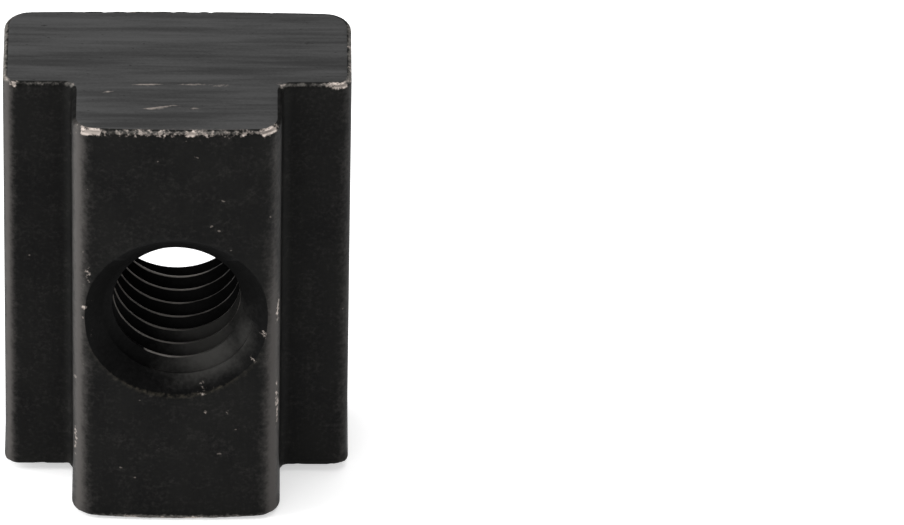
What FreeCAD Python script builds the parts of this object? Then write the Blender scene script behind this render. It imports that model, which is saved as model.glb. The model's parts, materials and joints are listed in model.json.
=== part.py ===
# T slot nut, sawn from a drawn steel T bar and tapped through its neck.
# The bar's length stands along +Z on its lower sawn end, the base lies at +Y and the neck looks along -Y.
# The origin is the middle of the lower end: x at mid width and y at mid height of the section.
import FreeCAD, Part
import math
import os
import Sketcher

NODE = "nut_body"
PARTS_FOLDER = "parts"

# Driving dimensions in millimetres and degrees: name, value, what it measures.
SIZES = [
    ("base_width", "23", "width of the base across its two flanges"),
    ("base_thickness", "8.5", "back of the base to the clamping shoulders"),
    ("neck_width", "13.8", "width of the neck that runs in the slot"),
    ("total_height", "14", "back of the base to the face of the neck"),
    ("bar_length", "31.8", "sawn length of the piece of bar"),
    ("base_crown", "0.2", "rise of the drawn base face at its middle"),
    ("neck_crown", "0.25", "rise of the drawn neck face at its middle"),
    ("base_corner_radius", "1.75", "rounding of the two back corners"),
    ("flange_corner_radius", "0.9", "rounding of the outer corners of the shoulders"),
    ("root_radius", "0.7", "fillet between neck and shoulder"),
    ("neck_corner_radius", "1.4", "rounding of the two corners of the neck face"),
    ("end_break", "0.3", "broken edge round both sawn ends"),
    ("thread_diameter", "10", "nominal size of the coarse thread"),
    ("thread_pitch", "1.5", "pitch of that thread"),
    ("sink_diameter", "12.8", "countersinks at the faces of neck and base"),
    ("sink_angle", "100", "included angle of both countersinks"),
    ("hole_offset", "0.7", "axis of the tapped hole above mid length, as it was drilled"),
]

# Ends and centre of a sketch element, and the sketch's own origin and upright axis.
START, END, CENTRE = 1, 2, 3
ORIGIN, UPRIGHT = -1, -2

# The two faces that the hole comes out of, as the sign of their y.
NECK_SIDE, BASE_SIDE = -1, 1

# Two points closer than this lie at the same place, in millimetres.
NEAR = 1e-4


def make_sheet(doc):
    """Puts the driving dimensions in a sheet, each under its own name."""
    sheet = doc.addObject("Spreadsheet::Sheet", "sizes")
    for row, (name, value, meaning) in enumerate(SIZES, start=1):
        sheet.set(f"A{row}", name)
        sheet.set(f"B{row}", value)
        sheet.set(f"C{row}", meaning)
        sheet.setAlias(f"B{row}", name)
    doc.recompute()
    return sheet


def add_sketch(body, name, role):
    """Adds an empty sketch that lies on one of the body's own origin planes."""
    sketch = body.newObject("Sketcher::SketchObject", name)
    plane = next(feature for feature in body.Origin.OriginFeatures if feature.Role == role)
    sketch.AttachmentSupport = (plane, "")
    sketch.MapMode = "FlatFace"
    return sketch


def drive(sketch, name, expression, kind, *geometry_and_value):
    """Adds a dimension to a sketch, names it and binds it to the sheet."""
    index = sketch.addConstraint(Sketcher.Constraint(kind, *geometry_and_value))
    sketch.renameConstraint(index, name)
    sketch.setExpression(f"Constraints.{name}", expression)


def crown_radius(half_width, rise):
    """Radius of a flat arc that rises by so much over its width."""
    return (half_width ** 2 + rise ** 2) / (2 * rise)


def crown_arc(half_width, height, rise, side):
    """A flat arc whose middle reaches the height, on the base's side or the neck's."""
    radius = crown_radius(half_width, rise)
    centre = FreeCAD.Vector(0, side * (height - radius), 0)
    half_turn = math.asin(half_width / radius)
    middle = side * math.pi / 2
    circle = Part.Circle(centre, FreeCAD.Vector(0, 0, 1), radius)
    return Part.ArcOfCircle(circle, middle - half_turn, middle + half_turn)


def side_line(x0, y0, x1, y1):
    """A straight side of the section."""
    return Part.LineSegment(FreeCAD.Vector(x0, y0, 0), FreeCAD.Vector(x1, y1, 0))


def join_arc(sketch, arc, side, end):
    """Closes the section where a crowned face meets the end of a side."""
    corner = sketch.getPoint(side, end)
    tip = min((START, END), key=lambda point: (sketch.getPoint(arc, point) - corner).Length)
    sketch.addConstraint(Sketcher.Constraint("Coincident", arc, tip, side, end))


def draw_section(body, sheet):
    """Draws the T section with its two crowned faces; its corners are rounded on the bar."""
    sketch = add_sketch(body, "section", "XY_Plane")
    half_base = float(sheet.base_width) / 2
    half_neck = float(sheet.neck_width) / 2
    back = float(sheet.total_height) / 2
    base_crown = float(sheet.base_crown)
    neck_crown = float(sheet.neck_crown)
    shoulder = back - float(sheet.base_thickness)
    back_corner = back - base_crown
    front_corner = neck_crown - back

    base_face = sketch.addGeometry(crown_arc(half_base, back, base_crown, BASE_SIDE))
    neck_face = sketch.addGeometry(crown_arc(half_neck, back, neck_crown, NECK_SIDE))
    hands = []
    for hand in (-1, 1):
        outer = hand * half_base
        inner = hand * half_neck
        flank = sketch.addGeometry(side_line(outer, back_corner, outer, shoulder))
        step = sketch.addGeometry(side_line(outer, shoulder, inner, shoulder))
        neck = sketch.addGeometry(side_line(inner, shoulder, inner, front_corner))
        sketch.addConstraint(Sketcher.Constraint("Vertical", flank))
        sketch.addConstraint(Sketcher.Constraint("Vertical", neck))
        sketch.addConstraint(Sketcher.Constraint("Coincident", flank, END, step, START))
        sketch.addConstraint(Sketcher.Constraint("Coincident", step, END, neck, START))
        join_arc(sketch, base_face, flank, START)
        join_arc(sketch, neck_face, neck, END)
        hands.append((flank, step, neck))
    left_hand, right_hand = hands
    for left, right in zip(left_hand[:2], right_hand[:2]):
        sketch.addConstraint(Sketcher.Constraint("Symmetric", left, END, right, END, UPRIGHT))
    for face in (base_face, neck_face):
        sketch.addConstraint(Sketcher.Constraint("PointOnObject", face, CENTRE, UPRIGHT))

    flank, step, neck = right_hand
    sketch.addConstraint(Sketcher.Constraint("Horizontal", step))
    drive(sketch, "half_base", "sizes.base_width / 2",
          "DistanceX", ORIGIN, START, flank, END, half_base)
    drive(sketch, "half_neck", "sizes.neck_width / 2",
          "DistanceX", ORIGIN, START, step, END, half_neck)
    drive(sketch, "flank", "sizes.base_thickness - sizes.base_crown",
          "DistanceY", flank, END, flank, START, back_corner - shoulder)
    drive(sketch, "back_corner", "sizes.total_height / 2 - sizes.base_crown",
          "DistanceY", ORIGIN, START, flank, START, back_corner)
    drive(sketch, "front_corner", "sizes.total_height / 2 - sizes.neck_crown",
          "DistanceY", neck, END, ORIGIN, START, -front_corner)
    drive(sketch, "base_arc", "((sizes.base_width / 2) ^ 2 + sizes.base_crown ^ 2) / (2 * sizes.base_crown)",
          "Radius", base_face, crown_radius(half_base, base_crown))
    drive(sketch, "neck_arc", "((sizes.neck_width / 2) ^ 2 + sizes.neck_crown ^ 2) / (2 * sizes.neck_crown)",
          "Radius", neck_face, crown_radius(half_neck, neck_crown))
    return sketch


def edges_where(shape, test):
    """Names the edges of a shape that pass a test."""
    return [f"Edge{number}" for number, edge in enumerate(shape.Edges, start=1) if test(edge)]


def long_edges(shape, x, y):
    """Names the two edges along the bar, left and right, that pass through a corner of the section."""
    def stands_there(edge):
        first, last = edge.Vertexes[0].Point, edge.Vertexes[-1].Point
        upright = abs(first.x - last.x) < NEAR and abs(first.y - last.y) < NEAR
        return upright and abs(abs(first.x) - x) < NEAR and abs(first.y - y) < NEAR
    return edges_where(shape, stands_there)


def end_edges(shape, length):
    """Names the edges that run round the outlines of the two ends."""
    def lies_on_an_end(edge):
        return any(all(abs(vertex.Z - end) < NEAR for vertex in edge.Vertexes) for end in (0, length))
    return edges_where(shape, lies_on_an_end)


def add_fillet(body, name, edges, alias):
    """Rounds edges of the newest feature by a radius of the sheet."""
    newest = body.Tip
    fillet = body.newObject("PartDesign::Fillet", name)
    fillet.Base = (newest, edges)
    fillet.setExpression("Radius", f"sizes.{alias}")
    body.Document.recompute()


def make_bar(body, sheet):
    """The bar: the section at its sawn length, its drawn corners and its broken end edges."""
    pad = body.newObject("PartDesign::Pad", "bar")
    pad.Profile = draw_section(body, sheet)
    pad.setExpression("Length", "sizes.bar_length")
    body.Document.recompute()

    half_base = float(sheet.base_width) / 2
    half_neck = float(sheet.neck_width) / 2
    back = float(sheet.total_height) / 2
    shoulder = back - float(sheet.base_thickness)
    corners = [
        ("base_corners", half_base, back - float(sheet.base_crown), "base_corner_radius"),
        ("flange_corners", half_base, shoulder, "flange_corner_radius"),
        ("neck_roots", half_neck, shoulder, "root_radius"),
        ("neck_corners", half_neck, float(sheet.neck_crown) - back, "neck_corner_radius"),
    ]
    for name, x, y, alias in corners:
        add_fillet(body, name, long_edges(body.Tip.Shape, x, y), alias)
    add_fillet(body, "end_breaks", end_edges(body.Tip.Shape, float(sheet.bar_length)), "end_break")


def draw_hole_circle(body, sheet, name, side):
    """Draws the tap drill's circle on the plane that touches the top of a crowned face."""
    sketch = add_sketch(body, name, "XZ_Plane")
    sketch.setExpression("AttachmentOffset.Base.z", f"{-side} * sizes.total_height / 2")
    height = float(sheet.bar_length) / 2 + float(sheet.hole_offset)
    radius = (float(sheet.thread_diameter) - float(sheet.thread_pitch)) / 2
    centre = FreeCAD.Vector(0, height, 0)
    circle = sketch.addGeometry(Part.Circle(centre, FreeCAD.Vector(0, 0, 1), radius))
    sketch.addConstraint(Sketcher.Constraint("PointOnObject", circle, CENTRE, UPRIGHT))
    drive(sketch, "axis", "sizes.bar_length / 2 + sizes.hole_offset",
          "DistanceY", ORIGIN, START, circle, CENTRE, height)
    drive(sketch, "drill", "(sizes.thread_diameter - sizes.thread_pitch) / 2", "Radius", circle, radius)
    return sketch


def add_hole(body, sheet, name, side):
    """Drills the tap hole through from one face and countersinks it there; the thread's crests lie on it."""
    sketch = draw_hole_circle(body, sheet, f"{name}_circle", side)
    body.Document.recompute()
    volume_before = body.Tip.Shape.Volume
    hole = body.newObject("PartDesign::Hole", name)
    hole.Profile = sketch
    hole.Reversed = side == BASE_SIDE
    hole.ThreadType = "None"
    hole.DepthType = "ThroughAll"
    hole.HoleCutType = "Countersink"
    hole.HoleCutCustomValues = True
    hole.setExpression("Diameter", "sizes.thread_diameter - sizes.thread_pitch")
    hole.setExpression("HoleCutDiameter", "sizes.sink_diameter")
    hole.setExpression("HoleCutCountersinkAngle", "sizes.sink_angle")
    body.Document.recompute()
    if hole.Shape.Volume >= volume_before:
        raise RuntimeError(f"{name} cuts nothing")


def check(doc, body):
    """Stops if an object failed to compute or the nut isn't one valid solid."""
    for item in doc.Objects:
        if {"Invalid", "Error"} & set(item.State):
            raise RuntimeError(f"{item.Name} is {item.State}")
    shape = body.Shape
    if shape.isNull() or not shape.isValid() or len(shape.Solids) != 1:
        raise RuntimeError(f"{body.Label} isn't one valid solid")


def main():
    """Builds the nut, checks it and writes its solid."""
    doc = FreeCAD.newDocument("t_slot_nut")
    sheet = make_sheet(doc)
    body = doc.addObject("PartDesign::Body", NODE)
    body.Label = NODE
    make_bar(body, sheet)
    add_hole(body, sheet, "neck_hole", NECK_SIDE)
    add_hole(body, sheet, "base_hole", BASE_SIDE)
    body.Placement = FreeCAD.Placement()
    doc.recompute()
    check(doc, body)
    os.makedirs(PARTS_FOLDER, exist_ok=True)
    body.Shape.exportStep(f"{PARTS_FOLDER}/{body.Label}.step")
    print(f"{body.Label}: {body.Shape.Volume:.1f} mm3, {len(body.Shape.Faces)} faces")


main()
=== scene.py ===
"""Dresses a T slot nut: drawn, sawn and tapped steel under a worn black oxide, on a pale studio floor."""
import enum
import json
import logging
import math
from collections.abc import Mapping
from dataclasses import dataclass

import bmesh
import bpy
import numpy as np
from mathutils import Matrix, Vector, noise


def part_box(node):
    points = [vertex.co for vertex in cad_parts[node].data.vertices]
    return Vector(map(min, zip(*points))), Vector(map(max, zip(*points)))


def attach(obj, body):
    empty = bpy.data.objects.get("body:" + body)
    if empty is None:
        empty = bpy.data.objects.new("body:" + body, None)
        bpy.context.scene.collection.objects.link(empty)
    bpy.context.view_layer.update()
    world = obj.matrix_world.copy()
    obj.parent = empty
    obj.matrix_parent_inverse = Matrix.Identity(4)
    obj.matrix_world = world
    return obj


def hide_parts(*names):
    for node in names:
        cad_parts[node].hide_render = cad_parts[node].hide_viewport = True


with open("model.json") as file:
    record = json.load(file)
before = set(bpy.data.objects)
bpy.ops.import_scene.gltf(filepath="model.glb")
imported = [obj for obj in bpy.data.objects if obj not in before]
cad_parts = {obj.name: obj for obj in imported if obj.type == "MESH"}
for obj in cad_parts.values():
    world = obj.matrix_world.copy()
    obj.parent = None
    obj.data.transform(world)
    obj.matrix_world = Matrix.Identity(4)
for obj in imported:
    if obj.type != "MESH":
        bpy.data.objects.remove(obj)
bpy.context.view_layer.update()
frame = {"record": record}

NODE = "nut_body"
MOUNT = "thread"
BODY = "root"
MM = 0.001
# Points closer than this count as one point, in millimetres.
WELD = 1e-4
# Points closer than this to a plane or a corner lie on it, in millimetres.
SNAP = 1e-5

log = logging.getLogger("t_slot_nut")


class Surface(enum.IntEnum):
    """The nut's surfaces, in the order of its material slots."""

    DRAWN = 0
    SAWN = 1
    TAPPED = 2


class Side(enum.Enum):
    """Where a mark lies, with the numbers of the two coordinates that place a mark there."""

    FRONT = ("front", 0, 2)
    BACK = ("back", 0, 2)
    UPPER_END = ("upper end", 0, 1)
    HOLE = ("hole", 0, 2)


class Trace(enum.Enum):
    """What each point of the nut stores of its wear and of its painted light and shade; the gaps are in
    millimetres.
    """

    END_GAP = "end_gap"
    RUBBED_AND_SHEEN = "rubbed_and_sheen"
    RIM_GAP = "rim_gap"
    CREST_GAP = "crest_gap"
    MARKED = "marked"
    PAINTED_LIGHT_IN_HOLE = "painted_light_in_hole"


def smoothstep(low: float, high: float, value: np.ndarray) -> np.ndarray:
    """Goes smoothly from 0 at low to 1 at high.

    Args:
        low: Value where the result is 0.
        high: Value where the result is 1; it may lie below low.
        value: Values to shape.

    Returns:
        The shaped values.
    """
    share = np.clip((value - low) / (high - low), 0.0, 1.0)
    return share * share * (3.0 - 2.0 * share)


def box_distance(x: np.ndarray, y: np.ndarray, low: tuple[float, float], high: tuple[float, float],
                 radius: float) -> np.ndarray:
    """Measures the signed distance to a rectangle with rounded corners, negative inside.

    Args:
        x: First coordinates.
        y: Second coordinates.
        low: The rectangle's lower corner.
        high: The rectangle's upper corner.
        radius: Rounding of its corners.

    Returns:
        One distance for each point.
    """
    across = np.abs(x - (low[0] + high[0]) / 2) - (high[0] - low[0]) / 2 + radius
    along = np.abs(y - (low[1] + high[1]) / 2) - (high[1] - low[1]) / 2 + radius
    outside = np.hypot(np.maximum(across, 0.0), np.maximum(along, 0.0))
    return outside + np.minimum(np.maximum(across, along), 0.0) - radius


@dataclass(frozen=True)
class Grain:
    """Smooth noise at a mesh's points: its features' sizes in millimetres, its seed and its weight."""

    size: tuple[float, float, float]
    seed: float
    weight: float = 1.0

    def at(self, points: np.ndarray) -> np.ndarray:
        """Samples the noise.

        Args:
            points: One row for each point, in millimetres.

        Returns:
            Values from about minus to plus the weight, one for each point.
        """
        shift = Vector((self.seed, 2.0 * self.seed, -self.seed))
        values = [noise.noise(Vector(row) + shift) for row in points / np.array(self.size)]
        return self.weight * np.array(values)


@dataclass(frozen=True)
class Section:
    """The drawn bar's T section in millimetres; the base lies at +Y and the neck at -Y."""

    base_width: float
    total_height: float
    base_thickness: float = 8.5
    neck_width: float = 13.8
    base_crown: float = 0.2
    neck_crown: float = 0.25
    base_corner_radius: float = 1.75
    flange_corner_radius: float = 0.9
    root_radius: float = 0.7
    neck_corner_radius: float = 1.4
    base_rounding: float = 1.2
    arc_segments: int = 9
    point_spacing: float = 0.16

    @property
    def back(self) -> float:
        """Place of the base face's crown."""
        return self.total_height / 2

    @property
    def shoulder(self) -> float:
        """Place of the two clamping shoulders."""
        return self.back - self.base_thickness

    def corners(self) -> list[tuple[float, float, float]]:
        """Lists the right-hand corners from the base to the neck.

        Returns:
            Each corner's x, y and radius.
        """
        half_base, half_neck = self.base_width / 2, self.neck_width / 2
        return [
            (half_base, self.back - self.base_crown, self.base_corner_radius),
            (half_base, self.shoulder, self.flange_corner_radius),
            (half_neck, self.shoulder, self.root_radius),
            (half_neck, self.neck_crown - self.back, self.neck_corner_radius),
        ]

    def draw(self, bm: bmesh.types.BMesh) -> bmesh.types.BMFace:
        """Draws the section flat at z = 0.

        Args:
            bm: Empty mesh that takes the section.

        Returns:
            The section's one face, looking up.
        """
        right = [(x, y) for x, y, _ in self.corners()]
        outline = [*right, *((-x, y) for x, y in reversed(right))]
        bm.faces.new([bm.verts.new((x, y, 0.0)) for x, y in outline])
        for x, y, radius in self.corners():
            pair = [v for v in bm.verts if math.isclose(abs(v.co.x), x, abs_tol=SNAP)
                    and math.isclose(v.co.y, y, abs_tol=SNAP)]
            bmesh.ops.bevel(bm, geom=pair, offset=radius, offset_type="OFFSET", segments=self.arc_segments,
                            profile=0.5, affect="VERTICES", material=-1)
        for edge in list(bm.edges):
            cuts = math.ceil(edge.calc_length() / self.point_spacing) - 1
            if cuts > 0:
                bmesh.ops.subdivide_edges(bm, edges=[edge], cuts=cuts)
        for vert in bm.verts:
            vert.co.y += self.crown(vert.co.x, vert.co.y)
        face = bm.faces[:][0]
        face.normal_update()
        if face.normal.z < 0:
            face.normal_flip()
        return face

    def crown(self, x: float, y: float) -> float:
        """Tells how far the drawn base or neck face stands out.

        Args:
            x: Place across the flat outline.
            y: Place along its height.

        Returns:
            The shift in y at that point.
        """
        if y > self.shoulder + self.base_thickness / 2:
            return self.base_crown * (1.0 - (2.0 * x / self.base_width) ** 2)
        if y < self.shoulder - self.root_radius:
            return -self.neck_crown * (1.0 - (2.0 * x / self.neck_width) ** 2)
        return 0.0

    def depth(self, points: np.ndarray) -> np.ndarray:
        """Measures how deep points lie under the drawn skin.

        Args:
            points: One row for each point.

        Returns:
            One depth for each point, in millimetres.
        """
        half_base, half_neck = self.base_width / 2, self.neck_width / 2
        x, y = points[:, 0], points[:, 1]
        base = box_distance(x, y, (-half_base, self.shoulder), (half_base, self.back), self.base_rounding)
        neck = box_distance(x, y, (-half_neck, -self.back), (half_neck, self.back), self.neck_corner_radius)
        return np.maximum(-np.minimum(base, neck), 0.0)

    def rubbed_and_sheen(self, points: np.ndarray) -> np.ndarray:
        """Tells how close points lie to the middle of the section's rounded long edges.

        Args:
            points: One row for each point.

        Returns:
            Values from 0 to 1, one for each point.
        """
        x, y = np.abs(points[:, 0]), points[:, 1]
        near = np.zeros(len(points))
        # The way along Y in which each corner points; the root is hollow and gets neither wear nor painted
        # sheen.
        upwards = (1, -1, 0, -1)
        for (corner_x, corner_y, radius), way in zip(self.corners(), upwards):
            if way:
                inset = radius * (1.0 - math.sqrt(0.5))
                away = np.hypot(x - (corner_x - inset), y - (corner_y - way * inset))
                near = np.maximum(near, np.clip(1.0 - away / radius, 0.0, 1.0) ** 2)
        return near


def face_outwards(bm: bmesh.types.BMesh) -> None:
    """Points the faces of a closed mesh outwards, which its signed volume proves.

    Args:
        bm: The closed mesh.
    """
    bm.normal_update()
    bmesh.ops.recalc_face_normals(bm, faces=bm.faces[:])
    if bm.calc_volume(signed=True) < 0:
        bmesh.ops.reverse_faces(bm, faces=bm.faces[:])


def as_object(name: str, bm: bmesh.types.BMesh,
              materials: tuple[bpy.types.Material, ...]) -> bpy.types.Object:
    """Turns a mesh in millimetres into an object in metres at the origin, and frees the mesh.

    Args:
        name: The object's name.
        bm: The mesh.
        materials: Materials for its slots, in their order.

    Returns:
        The object, linked into the scene.
    """
    bmesh.ops.scale(bm, verts=bm.verts[:], vec=(MM, MM, MM))
    mesh = bpy.data.meshes.new(name)
    bm.to_mesh(mesh)
    bm.free()
    for material in materials:
        mesh.materials.append(material)
    made = bpy.data.objects.new(name, mesh)
    bpy.context.scene.collection.objects.link(made)
    return made


def apply_modifiers(piece: bpy.types.Object) -> None:
    """Gives a piece the mesh that its modifiers make, and drops them.

    Args:
        piece: The piece with its modifiers.
    """
    graph = bpy.context.evaluated_depsgraph_get()
    piece.data = bpy.data.meshes.new_from_object(piece.evaluated_get(graph))
    piece.modifiers.clear()


def drop_slivers(mesh: bpy.types.Mesh, reach: float = 1e-6) -> None:
    """Joins points of a mesh that all but touch and dissolves the faces that this flattens.

    Args:
        mesh: The mesh.
        reach: How far apart such points lie at most, in metres.
    """
    bm = bmesh.new()
    bm.from_mesh(mesh)
    bmesh.ops.remove_doubles(bm, verts=bm.verts[:], dist=reach)
    bmesh.ops.dissolve_degenerate(bm, edges=bm.edges[:], dist=reach)
    bm.to_mesh(mesh)
    bm.free()


@dataclass(frozen=True)
class Thread:
    """A right-hand coarse thread with a countersink at each of its two mouths, in millimetres."""

    crest_radius: float
    sink_height: float
    materials: tuple[bpy.types.Material, ...]
    drift: float = 0.4
    pitch: float = 1.5
    root_radius: float = 5.12
    flank_angle: float = 30.0
    crest_round: float = 0.05
    root_flat: float = 0.36
    first_crest: float = 2.15
    steps: int = 96
    sink_radius: float = 6.4
    sink_angle: float = 90.0
    rim_break: float = 0.1
    rim_slope: float = 0.9
    overrun: float = 2.0

    @property
    def height(self) -> float:
        """Height of the thread's axis, where the drill ran off the countersinks' axis."""
        return self.sink_height - self.drift

    def tooth(self) -> list[tuple[float, float]]:
        """Lists one pitch of the tap's outline, from the middle of a crest.

        Returns:
            Each point's radius and its place along the axis.
        """
        low, high, soft = self.crest_radius, self.root_radius, self.crest_round
        flank = (high - low) * math.tan(math.radians(self.flank_angle))
        crest = (self.pitch - self.root_flat - 2 * flank) / 2
        half, root = self.pitch / 2, self.root_flat / 2
        rising = [
            (low, 0.0),
            (low, crest - soft),
            (low + soft / 2, crest + soft / 4),
            (high - soft, half - root - soft / 2),
            (high, half - root + soft / 2),
        ]
        return [*rising, *((radius, self.pitch - along) for radius, along in reversed(rising))]

    def tap(self, neck_face: float) -> bpy.types.Object:
        """Makes the solid that the tap takes out: a core with the thread's ridges, along Y.

        Args:
            neck_face: Place of the neck's face; the hole ends at its opposite.

        Returns:
            The cutter.
        """
        bm = bmesh.new()
        turns = math.ceil((-2 * neck_face + 2 * self.overrun) / self.pitch)
        lead_in = self.pitch * math.ceil((self.first_crest + self.overrun) / self.pitch)
        start = neck_face + self.first_crest - lead_in
        outline = [bm.verts.new((0.0, start + along, -radius)) for radius, along in self.tooth()]
        edges = [bm.edges.new(pair) for pair in zip(outline, outline[1:])]
        bmesh.ops.spin(bm, geom=[*outline, *edges], cent=(0, 0, 0), axis=(0, 1, 0),
                       dvec=(0, self.pitch / self.steps, 0), angle=math.tau * turns,
                       steps=self.steps * turns, use_merge=False, use_duplicate=False)
        bmesh.ops.remove_doubles(bm, verts=bm.verts[:], dist=WELD)
        rim = [e for e in bm.edges if e.is_boundary]
        middle = sum(e.verts[0].co.y for e in rim) / len(rim)
        for lower in (True, False):
            loop = [e for e in rim if (e.verts[0].co.y < middle) == lower]
            bmesh.ops.contextual_create(bm, geom=loop)
        return self.cutter("tap", bm, self.height)

    def sink(self, face: float) -> bpy.types.Object:
        """Makes the countersink's cutter at one face: a cone with a broken rim.

        Args:
            face: Place of the face's crown; its sign says which face.

        Returns:
            The cutter.
        """
        outward = math.copysign(1.0, face)
        rim, soft = self.sink_radius, self.rim_break
        outline = [
            (0.0, self.overrun),
            (rim + self.overrun, self.overrun),
            (rim + soft, 0.0),
            (rim - soft, -soft * self.rim_slope),
            (0.0, -rim / math.tan(math.radians(self.sink_angle / 2))),
        ]
        bm = bmesh.new()
        points = [bm.verts.new((0.0, face + outward * along, -radius)) for radius, along in outline]
        edges = [bm.edges.new(pair) for pair in zip(points, points[1:])]
        bmesh.ops.spin(bm, geom=[*points, *edges], cent=(0, 0, 0), axis=(0, 1, 0), angle=math.tau,
                       steps=self.steps, use_merge=True, use_duplicate=False)
        bmesh.ops.remove_doubles(bm, verts=bm.verts[:], dist=WELD)
        return self.cutter("sink", bm, self.sink_height)

    def cutter(self, name: str, bm: bmesh.types.BMesh, height: float) -> bpy.types.Object:
        """Lifts a cutter to its axis and marks its faces as tapped.

        Args:
            name: The cutter's name.
            bm: Its closed mesh, around the Y axis.
            height: Height of the axis that it goes to.

        Returns:
            The cutter.
        """
        face_outwards(bm)
        bmesh.ops.translate(bm, verts=bm.verts[:], vec=(0, 0, height))
        for face in bm.faces:
            face.material_index = Surface.TAPPED
            face.smooth = True
        return as_object(name, bm, self.materials)


@dataclass(frozen=True)
class Mark:
    """A scuff, nick or streak where bare steel shows, or in the hole a patch of painted light: its place,
    half sizes and strength.
    """

    side: Side
    place: tuple[float, float]
    reach: tuple[float, float]
    strength: float = 1.0

    def weight(self, points: np.ndarray) -> np.ndarray:
        """Tells how strongly the mark is felt.

        Args:
            points: One row for each point, in millimetres.

        Returns:
            Values from 0 to the mark's strength, one for each point.
        """
        _, first, second = self.side.value
        across = (points[:, first] - self.place[0]) / self.reach[0]
        along = (points[:, second] - self.place[1]) / self.reach[1]
        return self.strength * np.exp(-(across ** 2 + along ** 2))


@dataclass(frozen=True)
class SawnEnds:
    """What the saw left, in millimetres: chipped end edges, saw lines, a leaning lower cut and its burr."""

    chip_grains: tuple[Grain, ...] = (Grain((0.9, 0.9, 0.6), 3.0), Grain((0.35, 0.35, 0.35), 8.0, 0.5))
    chip_depth: float = 0.05
    chip_onset: tuple[float, float] = (0.1, 0.6)
    chip_reach: tuple[float, float] = (0.42, 0.12)
    line_grains: tuple[Grain, ...] = (Grain((9.0, 0.55, 5.0), 1.0), Grain((4.0, 0.3, 5.0), 6.0, 0.6))
    line_relief: float = 0.014
    line_top: float = 0.8
    flat_normal: tuple[float, float] = (0.7, 0.99)
    lean: float = 0.05
    lean_reach: float = 6.0
    burr: float = 0.16
    burr_height: tuple[float, float] = (0.8, 0.1)
    burr_depth: float = 1.5
    burr_roughness: float = 0.5
    flare: float = 0.5
    flare_height: tuple[float, float] = (1.2, 0.3)
    side_normal: float = 0.6

    def shape(self, nut: "Nut", bm: bmesh.types.BMesh) -> None:
        """Moves the bar's points to where the saw and the knocks left them.

        Args:
            nut: The nut whose bar it is.
            bm: The bar's mesh.
        """
        bm.normal_update()
        points = np.array([v.co for v in bm.verts])
        normals = np.array([v.normal for v in bm.verts])
        rough = sum(grain.at(points) for grain in self.chip_grains)
        moved = points - normals * self.chips(nut, points, rough)[:, None]
        moved[:, 2] += self.lines(points, normals)
        moved[:, 2] += self.lower_cut(nut, points, rough)
        spread = smoothstep(*self.flare_height, points[:, 2]) * self.burr * self.flare
        moved[:, 0] += np.sign(points[:, 0]) * spread * (np.abs(normals[:, 0]) > self.side_normal)
        for vert, place in zip(bm.verts, moved):
            vert.co = place

    def chips(self, nut: "Nut", points: np.ndarray, rough: np.ndarray) -> np.ndarray:
        """Tells how deep the end edges are chipped.

        Args:
            nut: The nut.
            points: One row for each point.
            rough: Rough noise, one value for each point.

        Returns:
            One depth for each point.
        """
        end = np.minimum(points[:, 2], nut.length - points[:, 2])
        edge = np.hypot(end, nut.section.depth(points))
        return smoothstep(*self.chip_onset, rough) * smoothstep(*self.chip_reach, edge) * self.chip_depth

    def lines(self, points: np.ndarray, normals: np.ndarray) -> np.ndarray:
        """Tells how far the saw lines move the ends along Z.

        Args:
            points: One row for each point.
            normals: The normal at each point.

        Returns:
            One shift for each point.
        """
        on_end = smoothstep(*self.flat_normal, np.abs(normals[:, 2]))
        lines = sum(grain.at(points) for grain in self.line_grains)
        return np.sign(normals[:, 2]) * on_end * (lines - self.line_top) * self.line_relief

    def lower_cut(self, nut: "Nut", points: np.ndarray, rough: np.ndarray) -> np.ndarray:
        """Tells how far the lower cut's lean and its burr move points along Z.

        Args:
            nut: The nut.
            points: One row for each point.
            rough: Rough noise, one value for each point.

        Returns:
            One shift for each point.
        """
        x, y, z = points.T
        end = np.minimum(z, nut.length - z)
        front = y + nut.section.back
        lean = np.clip(1.0 - z / self.lean_reach, 0.0, 1.0) ** 2 * self.lean * front
        across = np.clip(1.0 - (2.0 * x / nut.section.neck_width) ** 2, 0.0, 1.0)
        below = smoothstep(*self.burr_height, end) * (z < nut.length / 2)
        below = below * smoothstep(self.burr_depth, 0.0, front)
        return lean - below * self.burr * across * (1.0 + self.burr_roughness * rough)


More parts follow.
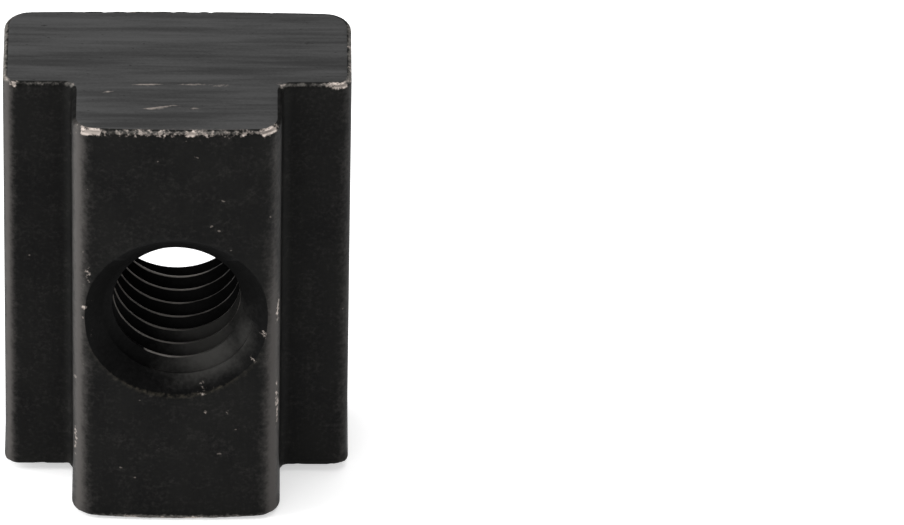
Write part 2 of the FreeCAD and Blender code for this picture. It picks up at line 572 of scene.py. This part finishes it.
@dataclass(frozen=True)
class Wear:
    """Where the oxide is rubbed, chipped or marked, and where light and shade are painted, in millimetres
    and shares.
    """

    marks: tuple[Mark, ...]
    skin: float = 0.5
    side_fade: float = 0.8
    shoulder_fade: tuple[float, float] = (0.6, 0.2)
    front_margin: float = 0.3
    back_margin: float = 0.6
    end_margin: float = 0.2
    sound: float = 0.4
    sound_shoulder: float = 0.25
    sound_rim: tuple[float, float] = (16.0, 20.0)
    # Weights of the rubbed edges on the neck's right; the left edges take full weight, where a painted sheen
    # stands in for the left lamp's light.
    upper_rub: float = 0.35
    lower_rub: float = 1.15
    rub_heights: tuple[float, float] = (24.0, 14.0)
    flank_rub: float = 0.25
    flank_margin: float = 1.0
    first_turn_depth: tuple[float, float] = (3.2, 2.0)
    first_turn_height: tuple[float, float] = (12.4, 13.4)
    painted_crest_shade: float = 0.05
    # Painted shade on the crest lines, growing from left to right across the hole.
    painted_crest_shade_across: tuple[float, float] = (-1.0, 3.5)
    farthest: float = 4.0

    def record(self, nut: "Nut", piece: bpy.types.Object) -> None:
        """Stores, for each point of the finished mesh, what the finishes need to know about its wear and its
        painted light and shade.

        Args:
            nut: The nut.
            piece: Its finished object.
        """
        mesh = piece.data
        flat = np.empty(3 * len(mesh.vertices))
        mesh.vertices.foreach_get("co", flat)
        points = flat.reshape(-1, 3) / MM
        marked, painted_light_in_hole = self.marked(nut, points)
        traces = {
            Trace.END_GAP: self.end_gap(nut, points),
            Trace.RUBBED_AND_SHEEN: self.rubbed_and_sheen(nut, points),
            Trace.RIM_GAP: self.rim_gap(nut, points),
            Trace.CREST_GAP: self.crest_gap(nut, points),
            Trace.MARKED: marked,
            Trace.PAINTED_LIGHT_IN_HOLE: painted_light_in_hole,
        }
        for trace, values in traces.items():
            layer = mesh.attributes.new(trace.value, "FLOAT", "POINT")
            layer.data.foreach_set("value", np.clip(values, 0.0, self.farthest).astype(np.float32))

    def on_side(self, section: Section, y: np.ndarray) -> np.ndarray:
        """Tells how much points lie on the neck's sides, away from its face and its roots.

        Args:
            section: The nut's section.
            y: Places along the section's height.

        Returns:
            Values from 0 to 1, one for each point.
        """
        from_shoulder = smoothstep(section.shoulder, section.shoulder - self.side_fade, y)
        from_face = smoothstep(self.side_fade, 2 * self.side_fade, y + section.back)
        return from_shoulder * from_face

    def marked(self, nut: "Nut", points: np.ndarray) -> tuple[np.ndarray, np.ndarray]:
        """Lays the marks, and the patches of painted light in the hole, on their own sides of the nut.

        Args:
            nut: The nut.
            points: One row for each point.

        Returns:
            The marks outside the hole and the painted light in it, one value of each for each point.
        """
        section, thread = nut.section, nut.thread
        x, y, z = points.T
        skin = section.depth(points) < self.skin
        in_sink = np.hypot(x, z - thread.sink_height) < thread.sink_radius
        in_front = skin & (y < section.shoulder + self.front_margin)
        shown = {
            Side.FRONT: np.where(in_front, 1.0 - self.on_side(section, y), 0.0),
            Side.BACK: skin & (y > section.back - self.back_margin),
            Side.UPPER_END: z > nut.length - self.end_margin,
            Side.HOLE: ~skin & (y < section.shoulder) & in_sink,
        }
        # Marks in the hole are painted light, kept apart from the others.
        outside, inside = np.zeros(len(points)), np.zeros(len(points))
        for mark in self.marks:
            layer = inside if mark.side is Side.HOLE else outside
            np.maximum(layer, shown[mark.side] * mark.weight(points), out=layer)
        return outside, inside

    def end_gap(self, nut: "Nut", points: np.ndarray) -> np.ndarray:
        """Measures how far points lie from the end edges, and more where the edges are sound.

        Args:
            nut: The nut.
            points: One row for each point.

        Returns:
            One distance for each point.
        """
        section = nut.section
        x, y, z = points.T
        end = np.clip(np.minimum(z, nut.length - z), 0.0, None)
        low, high = (section.shoulder + margin for margin in self.shoulder_fade)
        on_shoulder = smoothstep(low, high, y) * (np.abs(x) > section.neck_width / 2)
        sound = np.maximum(self.on_side(section, y), self.sound_shoulder * on_shoulder)
        return np.hypot(end, section.depth(points)) + self.sound * sound

    def rubbed_and_sheen(self, nut: "Nut", points: np.ndarray) -> np.ndarray:
        """Tells how rubbed the long edges are, with a painted sheen: most on the left, where the left lamp
        lights them, and low down on the neck's right.

        Args:
            nut: The nut.
            points: One row for each point.

        Returns:
            One value for each point, 0 where there is neither rubbing nor painted sheen.
        """
        section = nut.section
        x, z = points[:, 0], points[:, 2]
        neck = self.upper_rub + smoothstep(*self.rub_heights, z) * (self.lower_rub - self.upper_rub)
        right = np.where(x > section.neck_width / 2 + self.flank_margin, self.flank_rub, neck)
        # Full weight on the left: painted sheen where the left lamp lights the edges, over some real
        # rubbing.
        return section.rubbed_and_sheen(points) * np.where(x < 0, 1.0, right)

    def rim_gap(self, nut: "Nut", points: np.ndarray) -> np.ndarray:
        """Measures how far points lie from the countersinks' rims, and more on their sound upper part.

        Args:
            nut: The nut.
            points: One row for each point.

        Returns:
            One distance for each point.
        """
        section, thread = nut.section, nut.thread
        x, y, z = points.T
        from_face = np.minimum(y + section.back, section.back - y)
        from_rim = np.hypot(x, z - thread.sink_height) - thread.sink_radius
        away = np.hypot(from_rim, np.clip(from_face, 0.0, None))
        return away + self.sound * smoothstep(*self.sound_rim, z)

    def crest_gap(self, nut: "Nut", points: np.ndarray) -> np.ndarray:
        """Measures how far points lie from the thread's crests, and more on the first turn near the front
        mouth, except low down, and towards the right, where the crest lines fade into painted shade.

        Args:
            nut: The nut.
            points: One row for each point.

        Returns:
            One distance for each point.
        """
        x, y, z = points.T
        away = np.abs(np.hypot(x, z - nut.thread.height) - nut.thread.crest_radius)
        first_turn = smoothstep(*self.first_turn_depth, y + nut.section.back)
        first_turn = first_turn * smoothstep(*self.first_turn_height, z)
        # The last term is painted shade: the crest lines fade towards the right.
        return away + first_turn + self.painted_crest_shade * smoothstep(*self.painted_crest_shade_across, x)


@dataclass
class Nut:
    """The one-piece nut: a sawn length of T bar, tapped through its neck, in millimetres."""

    section: Section
    thread: Thread
    ends: SawnEnds
    wear: Wear
    length: float
    end_break: float = 0.3
    break_segments: int = 4
    fine_row: float = 0.1
    row_growth: float = 1.3
    coarse_row: float = 0.45
    end_corners: int = 40
    end_spacing: tuple[float, float] = (0.7, 0.17)
    sharp_angle: float = 32.0

    def levels(self) -> list[float]:
        """Lists the heights of the bar's rows.

        Returns:
            The heights, fine at the sawn ends and coarser towards mid length.
        """
        heights, step = [self.end_break + self.fine_row], self.fine_row
        while heights[-1] + step < self.length / 2:
            heights.append(heights[-1] + step)
            step = min(step * self.row_growth, self.coarse_row)
        return [*heights, *(self.length - z for z in reversed(heights)), self.length]

    def is_end(self, face: bmesh.types.BMFace) -> bool:
        """Tells a sawn end from the bar's other faces by its many corners."""
        return len(face.verts) > self.end_corners

    def bar(self) -> bpy.types.Object:
        """Extrudes the section row by row, breaks the end edges and wears them.

        Returns:
            The bar.
        """
        bm = bmesh.new()
        top = self.section.draw(bm)
        height = 0.0
        for level in self.levels():
            old = top if height > 0 else None
            grown = bmesh.ops.extrude_face_region(bm, geom=[top])["geom"]
            if old:
                bmesh.ops.delete(bm, geom=[old], context="FACES_ONLY")
            bmesh.ops.translate(bm, verts=[g for g in grown if isinstance(g, bmesh.types.BMVert)],
                                vec=(0, 0, level - height))
            top = next(g for g in grown if isinstance(g, bmesh.types.BMFace))
            height = level
        rims = [e for e in bm.edges if any(self.is_end(f) for f in e.link_faces)]
        bmesh.ops.bevel(bm, geom=rims, offset=self.end_break, offset_type="OFFSET",
                        segments=self.break_segments, profile=0.5, affect="EDGES", material=-1,
                        clamp_overlap=False)
        face_outwards(bm)
        for face in bm.faces:
            face.smooth = True
            if self.is_end(face):
                face.material_index = Surface.SAWN
        self.slice_ends(bm, Vector((0, 1, 0)), self.section.total_height, self.end_spacing[1])
        self.slice_ends(bm, Vector((1, 0, 0)), self.section.base_width, self.end_spacing[0])
        self.ends.shape(self, bm)
        return as_object("t_slot_nut", bm, self.thread.materials)

    def slice_ends(self, bm: bmesh.types.BMesh, across: Vector, extent: float, spacing: float) -> None:
        """Cuts the two sawn ends into strips, so that their points can carry the saw lines.

        Args:
            bm: The bar's mesh.
            across: Direction in which the strips follow each other.
            extent: The bar's size in that direction.
            spacing: Width of a strip.
        """
        for step in range(1, math.ceil(extent / spacing)):
            faces = [f for f in bm.faces if f.material_index == Surface.SAWN]
            edges = dict.fromkeys(e for f in faces for e in f.edges)
            verts = dict.fromkeys(v for f in faces for v in f.verts)
            bmesh.ops.bisect_plane(bm, geom=[*faces, *edges, *verts], dist=SNAP, plane_no=across,
                                   plane_co=across * (step * spacing - extent / 2))

    def build(self) -> bpy.types.Object:
        """Builds the nut: the bar, less the countersinks and the tapped thread.

        Returns:
            The finished nut, with its wear and its painted light and shade stored in its points.
        """
        piece = self.bar()
        half = self.section.back
        for cutter in (self.thread.sink(-half), self.thread.sink(half), self.thread.tap(-half)):
            cut = piece.modifiers.new(cutter.name, "BOOLEAN")
            cut.operation = "DIFFERENCE"
            cut.solver = "MANIFOLD"
            cut.object = cutter
            apply_modifiers(piece)
            bpy.data.objects.remove(cutter)
        drop_slivers(piece.data)
        piece.data.set_sharp_from_angle(angle=math.radians(self.sharp_angle))
        self.wear.record(self, piece)
        return piece


def linear(code: str) -> tuple[float, float, float, float]:
    """Turns an sRGB colour into a linear one.

    Args:
        code: The colour as #rrggbb.

    Returns:
        Linear red, green and blue, and an alpha of 1.
    """
    shares = [int(code[at:at + 2], 16) / 255 for at in (1, 3, 5)]
    red, green, blue = (s / 12.92 if s <= 0.04045 else ((s + 0.055) / 1.055) ** 2.4 for s in shares)
    return red, green, blue, 1.0


def add_node(tree: bpy.types.NodeTree, kind: str, inputs: Mapping[str | int, object] | None = None,
             **settings: object) -> bpy.types.NodeSocket:
    """Adds a node to a tree.

    Args:
        tree: The tree that takes the node.
        kind: The node's type.
        inputs: For each input, by its name or number, the socket that feeds it or its value.
        **settings: The node's own properties.

    Returns:
        The node's first output in use, if it has one.
    """
    made = tree.nodes.new(kind)
    for name, value in settings.items():
        setattr(made, name, value)
    for key, value in (inputs or {}).items():
        socket = made.inputs[key] if isinstance(key, int) else next(
            s for s in made.inputs if s.enabled and s.name == key)
        if isinstance(value, bpy.types.NodeSocket):
            tree.links.new(value, socket)
        else:
            socket.default_value = value
    return next((s for s in made.outputs if s.enabled), None)


@dataclass(frozen=True)
class Pattern:
    """A finish's noise: its name, its features' sizes along each axis in millimetres and its detail."""

    name: str
    size: tuple[float, float, float]
    detail: float = 3.0
    roughness: float = 0.6


@dataclass(frozen=True)
class Recipe:
    """A weighted sum of patterns, by their names, and of traces of wear, with an offset."""

    weights: tuple[tuple[str | Trace, float], ...]
    offset: float = 0.0

    def mix(self, tree: bpy.types.NodeTree,
            sources: Mapping[str | Trace, bpy.types.NodeSocket]) -> bpy.types.NodeSocket:
        """Adds up the recipe.

        Args:
            tree: The material's tree.
            sources: The socket of each pattern and trace.

        Returns:
            The socket of the sum.
        """
        total = self.offset
        for name, weight in self.weights:
            total = add_node(tree, "ShaderNodeMath", {0: sources[name], 1: weight, 2: total},
                             operation="MULTIPLY_ADD")
        return total


@dataclass(frozen=True)
class Cover:
    """Where something shows: not at all where its recipe gives low, and most where it gives high."""

    recipe: Recipe
    low: float
    high: float
    most: float = 1.0

    def spread(self, tree: bpy.types.NodeTree,
               sources: Mapping[str | Trace, bpy.types.NodeSocket]) -> bpy.types.NodeSocket:
        """Works out the cover over the surface.

        Args:
            tree: The material's tree.
            sources: The socket of each pattern and trace.

        Returns:
            The socket of the cover, from 0 to most.
        """
        return add_node(tree, "ShaderNodeMapRange", {
            "Value": self.recipe.mix(tree, sources), "From Min": self.low, "From Max": self.high,
            "To Min": 0.0, "To Max": self.most}, interpolation_type="SMOOTHSTEP")


@dataclass(frozen=True)
class Layer:
    """A layer of a finish: its colour and where it shows."""

    colour: str
    cover: Cover


# Bare steel shows warm grey and bright, as a metal does where its oxide is gone.
BARE_STEEL = "#b9aea6"


@dataclass(frozen=True)
class Finish:
    """A finish on steel: a ground colour, layers over it in order, and spots of bare steel on top."""

    name: str
    ground: str
    patterns: tuple[Pattern, ...]
    layers: tuple[Layer, ...]
    bare: tuple[Cover, ...]
    relief: Recipe
    roughness: float = 0.45
    bare_roughness: float = 0.38
    specular: float = 0.05

    def sources(self, tree: bpy.types.NodeTree) -> dict[str | Trace, bpy.types.NodeSocket]:
        """Adds the finish's patterns and the traces of wear that its recipes name.

        Args:
            tree: The material's tree.

        Returns:
            The socket of each.
        """
        place = add_node(tree, "ShaderNodeTexCoord").node.outputs["Object"]
        spot = add_node(tree, "ShaderNodeMapping", {"Vector": place, "Scale": (1 / MM, 1 / MM, 1 / MM)})
        found = {}
        for pattern in self.patterns:
            scaled = add_node(tree, "ShaderNodeMapping", {
                "Vector": spot, "Scale": tuple(1.0 / size for size in pattern.size)})
            found[pattern.name] = add_node(tree, "ShaderNodeTexNoise", {
                "Vector": scaled, "Scale": 1.0, "Detail": pattern.detail, "Roughness": pattern.roughness})
        covers = (*(layer.cover for layer in self.layers), *self.bare)
        recipes = (*(cover.recipe for cover in covers), self.relief)
        named = [name for recipe in recipes for name, _ in recipe.weights]
        for trace in Trace:
            if trace in named:
                found[trace] = add_node(
                    tree, "ShaderNodeAttribute", attribute_name=trace.value).node.outputs["Fac"]
        return found

    def material(self) -> bpy.types.Material:
        """Makes the finish's material.

        Returns:
            The material.
        """
        made = bpy.data.materials.new(self.name)
        made.use_nodes = True
        tree = made.node_tree
        tree.nodes.clear()
        sources = self.sources(tree)
        colour = linear(self.ground)
        for layer in self.layers:
            colour = add_node(tree, "ShaderNodeMix", {
                "Factor": layer.cover.spread(tree, sources), "A": colour,
                "B": linear(layer.colour)}, data_type="RGBA")
        bareness, *others = (cover.spread(tree, sources) for cover in self.bare)
        for other in others:
            bareness = add_node(tree, "ShaderNodeMath", {0: bareness, 1: other}, operation="MAXIMUM")
        sources["bareness"] = bareness
        colour = add_node(tree, "ShaderNodeMix", {
            "Factor": bareness, "A": colour, "B": linear(BARE_STEEL)}, data_type="RGBA")
        shade = add_node(tree, "ShaderNodeMapRange", {
            "Value": bareness, "To Min": self.roughness, "To Max": self.bare_roughness})
        bump = add_node(tree, "ShaderNodeBump", {
            "Height": self.relief.mix(tree, sources), "Strength": 1.0, "Distance": MM})
        shader = add_node(tree, "ShaderNodeBsdfPrincipled", {
            "Base Color": colour, "Metallic": bareness, "Roughness": shade,
            "Specular IOR Level": self.specular, "Normal": bump})
        add_node(tree, "ShaderNodeOutputMaterial", {"Surface": shader})
        return made


@dataclass(frozen=True)
class DrawnFinish(Finish):
    """Drawn steel under black oxide: near black and satin, rubbed grey with a painted sheen and chipped
    bright at its edges.
    """

    name: str = "black_oxide_on_drawn_steel"
    ground: str = "#0e0e0e"
    patterns: tuple[Pattern, ...] = (
        # Stains of the oxide bath, which make the black a little uneven.
        Pattern("blotch", (3.0, 3.0, 4.5), detail=5.0),
        # Draw lines along the bar; the real ones are finer and are drawn as coarse as they need to show.
        Pattern("draw_line", (0.12, 0.12, 3.0)),
        # Flakes of oxide, also drawn coarser than the real ones.
        Pattern("flake", (0.3, 0.3, 0.3), detail=5.0),
        # Knocks, as long as the chips that they leave.
        Pattern("knock", (1.6, 1.6, 1.6)),
        # Lone specks without any finer detail.
        Pattern("speck", (0.4, 0.4, 0.4), detail=0.0),
    )
    layers: tuple[Layer, ...] = (
        # Thinner oxide, a little lighter.
        Layer("#181817",
              Cover(Recipe((("blotch", 1.3), ("draw_line", 0.2), ("flake", 0.5)), -0.75), -0.15, 0.45)),
        # Long edges rubbed grey, partly a painted sheen: strongest along the left edges, which the left lamp
        # lights.
        Layer("#524f4d",
              Cover(Recipe(((Trace.RUBBED_AND_SHEEN, 1.0), ("knock", 0.5), ("flake", 0.7))), 0.55, 1.5)),
        # A brownish ring around the countersinks.
        Layer("#4a463d",
              Cover(Recipe((("flake", 0.9), (Trace.RIM_GAP, -1.6)), 0.1), 0.1, 0.7, most=0.32)),
        # Worn oxide along the end edges.
        Layer("#6b6864",
              Cover(Recipe((("flake", 1.2), (Trace.END_GAP, -2.2)), 0.1), 0.0, 0.5, most=0.9)),
    )
    bare: tuple[Cover, ...] = (
        # Chips in the end edges.
        Cover(Recipe((("flake", 1.1), ("knock", 1.5), (Trace.END_GAP, -1.35)), -1.15), 0.0, 0.35),
        # Scuffs and nicks.
        Cover(Recipe(((Trace.MARKED, 1.0), ("flake", 2.2)), -1.65), 0.0, 0.5),
        # Dull specks.
        Cover(Recipe((("speck", 1.0),)), 0.86, 0.9, most=0.25),
    )
    relief: Recipe = Recipe((("bareness", -0.012), ("flake", 0.012), ("draw_line", 0.0015)))


@dataclass(frozen=True)
class SawnFinish(Finish):
    """Sawn steel, darkened grey: matt, with fine saw lines across it and brighter streaks and pits."""

    name: str = "sawn_steel"
    ground: str = "#333333"
    patterns: tuple[Pattern, ...] = (
        # Scratches of single saw teeth, drawn as coarse as they need to show.
        Pattern("saw_line", (5.0, 0.3, 5.0), detail=4.0),
        # Bands where the saw's feed changed.
        Pattern("band", (14.0, 1.1, 5.0), detail=2.0),
        # Torn grain, drawn coarser than the real one.
        Pattern("torn", (0.25, 0.18, 0.25), detail=4.0),
        # Pits that the teeth tore out.
        Pattern("pit", (0.6, 0.24, 0.5), detail=2.0),
    )
    layers: tuple[Layer, ...] = (
        # Lighter lines and bands.
        Layer("#494949",
              Cover(Recipe((("torn", 0.35), ("saw_line", 0.7), ("band", 1.3)), -1.17), -0.35, 0.35)),
        # Dark pits, where the pattern is lowest.
        Layer("#1a1a1a", Cover(Recipe((("pit", 1.0),)), 0.33, 0.22, most=0.65)),
    )
    bare: tuple[Cover, ...] = (
        # The outer rim.
        Cover(Recipe((("torn", 1.6), (Trace.END_GAP, -2.5))), 0.35, 0.8, most=0.8),
        # Streaks that follow the saw lines.
        Cover(Recipe(((Trace.MARKED, 1.0), ("torn", 1.0), ("saw_line", 1.6)), -1.75), 0.0, 1.1),
    )
    relief: Recipe = Recipe((("band", 0.02), ("torn", 0.012), ("saw_line", 0.016)))
    roughness: float = 0.55


@dataclass(frozen=True)
class TappedFinish(Finish):
    """The tapped hole: deep black oxide with a thin worn line of steel on each thread crest that fades into
    painted shade on the right, and a painted patch of light on the lower part of the front countersink.
    """

    name: str = "black_oxide_in_tapped_hole"
    ground: str = "#0a0a0a"
    patterns: tuple[Pattern, ...] = (
        # Flakes of oxide, drawn coarser than the real ones.
        Pattern("flake", (0.3, 0.3, 0.3), detail=5.0),
        # Broad mottling, as wide as a quarter of the hole.
        Pattern("broad_mottle", (2.5, 2.5, 2.5)),
    )
    layers: tuple[Layer, ...] = (
        # Thinner oxide.
        Layer("#131313", Cover(Recipe((("flake", 1.0),)), 0.25, 0.75)),
        # Worn thread crests, fading into painted shade towards the right.
        Layer("#a39e99",
              Cover(Recipe((("broad_mottle", 1.2), (Trace.CREST_GAP, -10.0)), 0.25), 0.1, 0.75, most=0.9)),
        # The countersinks' worn rims.
        Layer("#5b564b",
              Cover(Recipe((("flake", 1.3), (Trace.RIM_GAP, -2.0))), 0.25, 0.8, most=0.42)),
        # Painted light: a lighter grey patch on the lower part of the cone, where light falls into the hole.
        Layer("#4a4947",
              Cover(Recipe(((Trace.PAINTED_LIGHT_IN_HOLE, 1.0), ("flake", 0.4), ("broad_mottle", 0.5))), 0.5, 1.4, most=0.85)),
    )
    bare: tuple[Cover, ...] = (
        # Nicks in the rims.
        Cover(Recipe(((Trace.MARKED, 1.0), ("flake", 2.2)), -1.65), 0.0, 0.5),
    )
    relief: Recipe = Recipe((("flake", 0.01),))


@dataclass(frozen=True)
class Softbox:
    """A lamp of even light: its place and aim in metres, its size and its power."""

    name: str
    place: tuple[float, float, float]
    size: tuple[float, float]
    power: float
    aim: tuple[float, float, float] = (0.0, 0.0, 0.016)

    def hang(self) -> None:
        """Hangs the lamp and turns it to its aim."""
        data = bpy.data.lights.new(self.name, "AREA")
        data.shape = "RECTANGLE"
        data.size, data.size_y = self.size
        data.energy = self.power
        lamp = bpy.data.objects.new(self.name, data)
        lamp.location = self.place
        lamp.rotation_mode = "QUATERNION"
        lamp.rotation_quaternion = (Vector(self.aim) - Vector(self.place)).to_track_quat("-Z", "Y")
        bpy.context.scene.collection.objects.link(lamp)
        log.info("lamp %s: %g W", self.name, self.power)


@dataclass
class Studio:
    """The surroundings in metres: softboxes, a white floor and a world that the camera sees as white."""

    lamps: tuple[Softbox, ...]
    floor_level: float = -0.0002
    floor_size: float = 6.0
    floor_colour: str = "#f4f4f4"
    white: str = "#ffffff"
    floor_lift: float = 0.5
    world_light: float = 0.3
    world_gloss: float = 0.25

    def build(self) -> None:
        """Builds the floor, the world and the lamps."""
        bm = bmesh.new()
        bmesh.ops.create_grid(bm, x_segments=1, y_segments=1, size=self.floor_size / 2 / MM)
        bmesh.ops.translate(bm, verts=bm.verts[:], vec=(0, 0, self.floor_level / MM))
        floor = as_object("floor", bm, (self.floor_material(),))
        log.info("floor: %g m wide", self.floor_size)
        bpy.context.scene.world = self.world()
        for lamp in self.lamps:
            lamp.hang()
        bpy.context.scene.view_settings.view_transform = "Standard"

    def floor_material(self) -> bpy.types.Material:
        """Makes the floor's matt white paper, which glows a little to the camera and keeps its shadow.

        Returns:
            The material.
        """
        made = bpy.data.materials.new("matt_white_paper")
        made.use_nodes = True
        tree = made.node_tree
        tree.nodes.clear()
        ray = add_node(tree, "ShaderNodeLightPath").node.outputs
        seen = add_node(tree, "ShaderNodeMath", {0: ray["Is Camera Ray"], 1: ray["Is Glossy Ray"]},
                        operation="MAXIMUM")
        lift = add_node(tree, "ShaderNodeMath", {0: seen, 1: self.floor_lift}, operation="MULTIPLY")
        paper = add_node(tree, "ShaderNodeBsdfDiffuse", {"Color": linear(self.floor_colour)})
        glow = add_node(tree, "ShaderNodeEmission", {"Color": linear(self.white), "Strength": lift})
        both = add_node(tree, "ShaderNodeAddShader", {0: paper, 1: glow})
        add_node(tree, "ShaderNodeOutputMaterial", {"Surface": both})
        return made

    def world(self) -> bpy.types.World:
        """Makes the world: even light, a little dimmer in reflections and white to the camera.

        Returns:
            The world.
        """
        made = bpy.data.worlds.new("studio")
        made.use_nodes = True
        tree = made.node_tree
        tree.nodes.clear()
        ray = add_node(tree, "ShaderNodeLightPath").node.outputs
        glossy = add_node(tree, "ShaderNodeMapRange", {
            "Value": ray["Is Glossy Ray"], "To Min": self.world_light, "To Max": self.world_gloss})
        seen = add_node(tree, "ShaderNodeMath", {0: ray["Is Camera Ray"], 1: glossy}, operation="MAXIMUM")
        light = add_node(tree, "ShaderNodeBackground", {"Color": linear(self.white), "Strength": seen})
        add_node(tree, "ShaderNodeOutputWorld", {"Surface": light})
        return made


@dataclass(frozen=True)
class Shot:
    """The camera: in front of the nut and above it, with a long lens panned to put the hole at its pixel."""

    frame_width: int = 904
    frame_height: int = 525
    azimuth: float = 0.3
    elevation: float = 36.5
    roll: float = 0.13
    distance: float = 0.75
    pixels_per_mm: float = 15.1
    hole_pixel: tuple[float, float] = (176.2, 319.2)
    sensor: float = 36.0
    clip: tuple[float, float] = (0.01, 100.0)

    def place(self, hole: Vector) -> None:
        """Makes the camera and hands it to the scene.

        Args:
            hole: Where the countersinks' axis meets the neck's face, in metres.
        """
        focal = self.pixels_per_mm / MM * self.distance
        data = bpy.data.cameras.new("camera")
        data.sensor_width = self.sensor
        data.lens = focal / self.frame_width * self.sensor
        data.clip_start, data.clip_end = self.clip
        turn, rise = math.radians(self.azimuth), math.radians(self.elevation)
        back = Vector((math.sin(turn) * math.cos(rise), -math.cos(turn) * math.cos(rise), math.sin(rise)))
        right = self.hole_pixel[0] - self.frame_width / 2
        down = self.hole_pixel[1] - self.frame_height / 2
        pan = Vector((right, -down, -focal)).rotation_difference(Vector((0, 0, -1)))
        look = (-back).to_track_quat("-Z", "Y")
        spin = Matrix.Rotation(math.radians(self.roll), 4, "Z").to_quaternion()
        camera = bpy.data.objects.new("camera", data)
        camera.rotation_mode = "QUATERNION"
        camera.rotation_quaternion = look @ spin @ pan
        camera.location = hole + back * self.distance
        bpy.context.scene.collection.objects.link(camera)
        bpy.context.scene.camera = camera
        log.info("camera: %.0f mm lens", data.lens)


# The marks that the nut carries, and the patches of painted light in its hole, in millimetres: side, place,
# half sizes and strength.
MARKS = (
    # The neck's upper edge and its two corners.
    Mark(Side.FRONT, (0.0, 31.6), (7.2, 0.36), 0.76),
    Mark(Side.FRONT, (-5.6, 31.6), (1.0, 0.36), 1.2),
    Mark(Side.FRONT, (6.1, 31.6), (0.8, 0.38), 1.25),
    Mark(Side.FRONT, (-2.3, 31.62), (0.6, 0.24), 0.95),
    Mark(Side.FRONT, (0.9, 31.62), (0.9, 0.26), 1.05),
    Mark(Side.FRONT, (4.4, 31.62), (0.7, 0.24), 1.0),
    # The shoulders' upper edges.
    Mark(Side.FRONT, (-10.9, 31.65), (0.5, 0.3), 1.0),
    Mark(Side.FRONT, (10.6, 31.65), (0.9, 0.3), 1.1),
    # Nicks beside the countersink and on its rim.
    Mark(Side.FRONT, (-5.9, 20.0), (0.35, 0.9), 0.75),
    Mark(Side.FRONT, (-6.2, 17.3), (0.3, 0.7), 0.7),
    Mark(Side.FRONT, (-6.0, 14.9), (0.25, 0.35), 0.7),
    Mark(Side.FRONT, (5.85, 15.1), (0.22, 0.28), 1.0),
    Mark(Side.FRONT, (5.2, 13.2), (0.14, 0.5), 0.9),
    Mark(Side.FRONT, (1.9, 10.6), (0.7, 0.4), 0.7),
    Mark(Side.FRONT, (2.6, 11.2), (0.4, 0.25), 0.7),
    Mark(Side.FRONT, (-1.1, 11.0), (0.25, 0.15), 0.75),
    # Specks on the neck and the shoulders.
    Mark(Side.FRONT, (1.9, 8.9), (0.25, 0.15), 0.7),
    Mark(Side.FRONT, (3.4, 8.8), (0.2, 0.15), 0.75),
    Mark(Side.FRONT, (0.3, 6.7), (0.2, 0.2), 0.65),
    Mark(Side.FRONT, (-8.2, 2.9), (0.25, 0.2), 0.65),
    Mark(Side.FRONT, (-8.7, 13.6), (0.2, 0.2), 0.7),
    Mark(Side.FRONT, (-9.9, 15.3), (0.2, 0.2), 0.6),
    # Scuffs along the neck's long edges.
    Mark(Side.FRONT, (6.75, 16.5), (0.2, 1.6), 0.9),
    Mark(Side.FRONT, (6.75, 9.0), (0.2, 2.6), 0.9),
    Mark(Side.FRONT, (-6.75, 6.0), (0.2, 1.8), 0.85),
    Mark(Side.FRONT, (-6.75, 11.0), (0.2, 1.5), 0.75),
    # Painted light in the countersink: lighter patches on the lower part of its cone, most at the lower
    # right, where light falls into the hole.
    Mark(Side.HOLE, (2.0, 12.4), (2.6, 2.0), 0.95),
    Mark(Side.HOLE, (4.6, 14.0), (1.0, 2.2), 0.6),
    Mark(Side.HOLE, (-1.6, 10.9), (2.0, 0.5), 0.6),
    # Streaks on the upper end.
    Mark(Side.UPPER_END, (-1.5, -4.32), (0.45, 0.16), 1.5),
    Mark(Side.UPPER_END, (-0.8, -4.15), (0.45, 0.16), 1.45),
    Mark(Side.UPPER_END, (0.0, -3.92), (0.45, 0.16), 1.5),
    Mark(Side.UPPER_END, (0.7, -4.02), (0.4, 0.15), 1.35),
    Mark(Side.UPPER_END, (1.4, -4.3), (0.45, 0.15), 1.4),
    Mark(Side.UPPER_END, (-1.8, -1.6), (1.2, 0.14), 1.3),
    Mark(Side.UPPER_END, (0.8, -1.5), (1.3, 0.12), 1.25),
    Mark(Side.UPPER_END, (2.9, -1.65), (0.8, 0.12), 1.1),
    Mark(Side.UPPER_END, (-4.6, -2.4), (0.2, 0.13), 1.5),
    # The back, whose wear is guessed.
    Mark(Side.BACK, (3.0, 31.25), (4.5, 0.3), 0.9),
    Mark(Side.BACK, (-6.5, 31.2), (2.6, 0.35), 1.1),
    Mark(Side.BACK, (-7.6, 14.8), (0.6, 1.6), 0.75),
    Mark(Side.BACK, (5.2, 10.3), (0.5, 0.4), 0.8),
    Mark(Side.BACK, (9.6, 4.0), (0.4, 2.5), 0.75),
)

LAMPS = (
    Softbox("overhead", (0.0, 0.1, 0.8), (0.9, 0.9), 4.2),
    Softbox("left", (-0.6, 0.0, 0.35), (0.5, 0.5), 4.0),
    Softbox("right", (0.6, 0.05, 0.25), (0.4, 0.5), 0.4),
    Softbox("front", (-0.25, -0.7, 0.35), (0.4, 0.4), 0.7),
)


def main() -> None:
    """Builds the nut, its finishes and its studio."""
    logging.basicConfig(level=logging.INFO, format="%(message)s")
    low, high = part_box(NODE)
    size = (high - low) / MM
    hole = next(mount for mount in frame["record"]["mounts"] if mount["name"] == MOUNT)
    section = Section(base_width=size.x, total_height=size.y)
    finishes = {Surface.DRAWN: DrawnFinish(), Surface.SAWN: SawnFinish(), Surface.TAPPED: TappedFinish()}
    thread = Thread(crest_radius=hole["dims"]["r_mm"], sink_height=hole["pos_m"][2] / MM,
                    materials=tuple(finishes[surface].material() for surface in Surface))
    nut = Nut(section, thread, SawnEnds(), Wear(MARKS), length=size.z).build()
    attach(nut, BODY)
    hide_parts(NODE)
    log.info("nut: %d faces, %d points", len(nut.data.polygons), len(nut.data.vertices))
    Studio(LAMPS).build()
    Shot().place(Vector((0.0, low.y, thread.sink_height * MM)))


if __name__ == "__main__":
    main()
